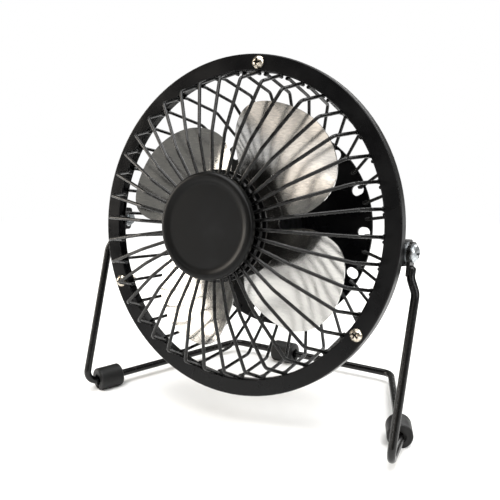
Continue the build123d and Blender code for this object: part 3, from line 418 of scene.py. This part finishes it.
RIM_SCREWS = 3
FIRST_SCREW = 87.5             # degrees round from the head's right side
RECESS_FLOOR = 0.72            # above the flat face, just clear of the recess's metal
bm = bmesh.new()
for i in range(RIM_SCREWS):
    turned = Matrix.Rotation(radians(FIRST_SCREW + 360 / RIM_SCREWS * i), 4, "Z")
    cross(bm, turned @ Matrix.Translation((face_radius, 0, RIM_DEPTH + RECESS_FLOOR)),
          2.9, 0.62, 0.1)
# The crosses are painted shade on the floors of the rim screws' recesses.
finish_piece("rim_screw_painted_shade", bm, recess_shade_paint, "head", smooth=False)

# %% [markdown]
# **The socket's contacts.** Five thin strips lie side by side on the socket's tongue,
# flashed with gold so that they do not tarnish.

# %% Contacts
CONTACTS = 5
CONTACT_PITCH = 0.9
CONTACT_SIZE = (0.4, 0.08, 4.0)
contact_gold = plated("gold_flash_contact", "#d8a94e", "#a97f33", 0.22, 0.4, 0.02)
tongue_low, tongue_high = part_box("socket_tongue")
tongue = head_matrix.inverted() @ ((tongue_low + tongue_high) / 2)
bm = bmesh.new()
for i in range(CONTACTS):
    across = tongue.x + (i - CONTACTS // 2) * CONTACT_PITCH
    bmesh.ops.create_cube(bm, size=1.0, matrix=Matrix.Translation(
        (across, tongue.y + 0.42, tongue.z - 0.3)) @ Matrix.Diagonal(CONTACT_SIZE).to_4x4())
bmesh.ops.bevel(bm, geom=bm.edges[:], offset=0.02, affect="EDGES", segments=1,
                profile=0.5, material=-1)
finish_piece("socket_contacts", bm, contact_gold, "head")

# %% [markdown]
# ## Floor, light and camera
# The fan stands in a plain white space. Its black paint shows only by what it reflects,
# so most of the lights are large and soft: one overhead, a window on the left and strips
# at the right, front and back. One small lamp is there only for a glint on the hub.

# %% Floor
# Near the fan the floor is matt and takes its shadow. Further out it fades to a glowing
# white, so that it has no horizon.
NEAR_FLOOR_MM = 160
FAR_FLOOR_MM = 500
bpy.ops.mesh.primitive_plane_add(size=6.0, location=(0, 0, cad_low.z - 0.00005))
floor = bpy.context.object
floor.name = "floor"
pale, tree, shader, where = new_material("pale_floor", "#f4f4f3", 0.9)
away = add_node(tree, "VectorMath", {"operation": "LENGTH"}, {0: where})
fade = add_node(tree, "MapRange", {"interpolation_type": "SMOOTHSTEP",
                                   "From Min": NEAR_FLOOR_MM, "From Max": FAR_FLOOR_MM},
                {"Value": away.outputs["Value"]})
shine = add_node(tree, "Emission", {"Color": colour("#ffffff"), "Strength": 1.0})
paper = add_node(tree, "MixShader")
tree.links.new(fade.outputs["Result"], paper.inputs[0])
tree.links.new(shader.outputs[0], paper.inputs[1])
tree.links.new(shine.outputs[0], paper.inputs[2])
tree.links.new(paper.outputs[0], tree.nodes["Material Output"].inputs["Surface"])
floor.data.materials.append(pale)

# %% Light
# What lies beyond the floor is plain white to the camera. To everything else it is a dim
# room, so that the black paint stays black between the lights.
world = bpy.data.worlds.new("studio")
bpy.context.scene.world = world
world.use_nodes = True
room = world.node_tree
seen = room.nodes["Background"]
seen.inputs["Color"].default_value = colour("#ffffff")
dim = add_node(room, "Background", {"Color": colour("#c6c5c0"), "Strength": 0.42})
either = add_node(room, "MixShader")
room.links.new(add_node(room, "LightPath").outputs["Is Camera Ray"], either.inputs[0])
room.links.new(dim.outputs[0], either.inputs[1])
room.links.new(seen.outputs[0], either.inputs[2])
room.links.new(either.outputs[0], room.nodes["World Output"].inputs["Surface"])
bpy.context.scene.view_settings.view_transform = "Standard"


def soft_light(name, azimuth, elevation, distance, size, power, tone="#ffffff"):
    """A soft box seen from the fan in a direction: azimuth 0 is in front, 90 to its right."""
    data = bpy.data.lights.new(name, "AREA")
    data.shape = "RECTANGLE"
    data.size, data.size_y = size
    data.energy = power
    data.color = colour(tone)[:3]
    lamp = bpy.data.objects.new(name, data)
    bpy.context.scene.collection.objects.link(lamp)
    a, e = radians(azimuth), radians(elevation)
    towards = Vector((sin(a) * cos(e), -cos(a) * cos(e), sin(e)))
    lamp.location = Vector((0, 0, 0.08)) + towards * distance
    lamp.rotation_mode = "QUATERNION"
    lamp.rotation_quaternion = towards.to_track_quat("Z", "Y")
    print(name, "is", distance, "m away")


soft_light("overhead", 20, 78, 1.0, (1.1, 1.1), 21)
soft_light("left_window", -66, 14, 0.9, (0.35, 0.5), 5.0, "#fff6ea")
soft_light("right_strip", 75, 30, 0.9, (0.12, 0.7), 3.0)
soft_light("front_strip", 2, 8, 0.9, (0.16, 0.5), 0.5, "#fff3e6")
soft_light("hub_glint", -29, 4, 0.9, (0.06, 0.06), 0.35)
soft_light("rear_strip", 165, 35, 1.0, (0.8, 0.4), 6.0)

# %% [markdown]
# The camera looks from the front right, a hand's breadth above the table and quite close,
# so the near leg is drawn much larger than the far one.

# %% Camera
AZIMUTH, ELEVATION, ROLL = radians(31.1), radians(13.3), radians(-0.2)
DISTANCE = 318 * MM
FOCAL = 1.526                  # lens length over sensor width
AIM_OFFSET = (-0.01, -0.048)   # how far off centre the aim falls, over the picture's width
SENSOR_WIDTH = 36
back = Vector((sin(AZIMUTH) * cos(ELEVATION), -cos(AZIMUTH) * cos(ELEVATION), sin(ELEVATION)))
side = Vector((cos(AZIMUTH), sin(AZIMUTH), 0))
up = back.cross(side)
aim = Vector(spin["pos_m"]) + Vector((0, 3.0, -0.5)) * MM
camera_data = bpy.data.cameras.new("camera")
camera_data.sensor_width = SENSOR_WIDTH
camera_data.lens = FOCAL * SENSOR_WIDTH
camera_data.clip_start = 0.01
camera = bpy.data.objects.new("camera", camera_data)
bpy.context.scene.collection.objects.link(camera)
camera.matrix_world = Matrix.Translation(
    aim + DISTANCE * (back - AIM_OFFSET[0] / FOCAL * side + AIM_OFFSET[1] / FOCAL * up)
) @ Matrix((side, up, back)).transposed().to_4x4() @ Matrix.Rotation(ROLL, 4, "Z")
bpy.context.scene.camera = camera
